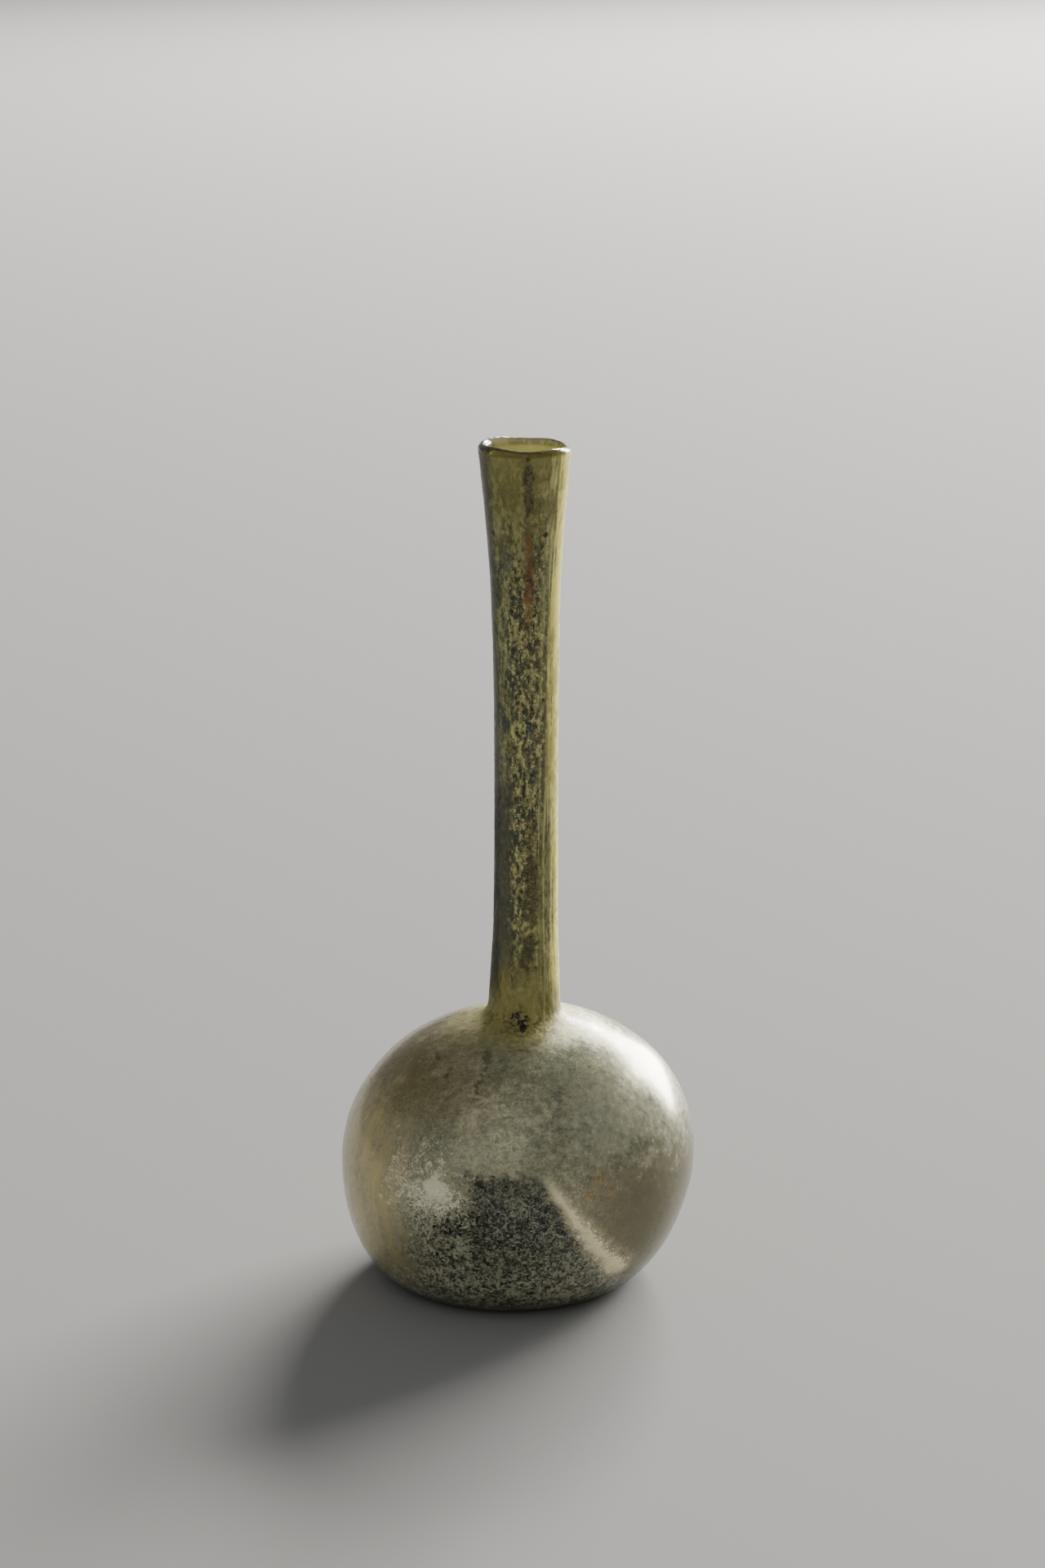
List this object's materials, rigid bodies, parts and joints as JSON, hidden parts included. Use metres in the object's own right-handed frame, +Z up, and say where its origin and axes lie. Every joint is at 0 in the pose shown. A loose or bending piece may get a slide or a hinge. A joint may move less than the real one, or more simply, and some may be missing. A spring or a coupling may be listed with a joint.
{
  "type": "ampulla",
  "caption": "Blown glass ampulla with a squat globular body, a deep kick in its base, and a long slender neck that flares to a rounded lip. Hollow, open at the mouth.",
  "frame": {"origin": "the middle of the bounding box's bottom, on the surface that the vessel stands on", "axes": "+Z up, through the body and the neck; +X to the right as the vessel's front (-Y) is seen, the way its neck leans"},
  "size_m": [0.1038, 0.1042, 0.2465],
  "materials": {
    "weathered_glass": "thin blown glass, olive-yellow in the neck and pale grey-green in the body, under a patchy silvery-cream weathering film with brown and dark spots"
  },
  "bodies": {
    "root": {"ampulla": "weathered_glass"}
  },
  "joints": []
}
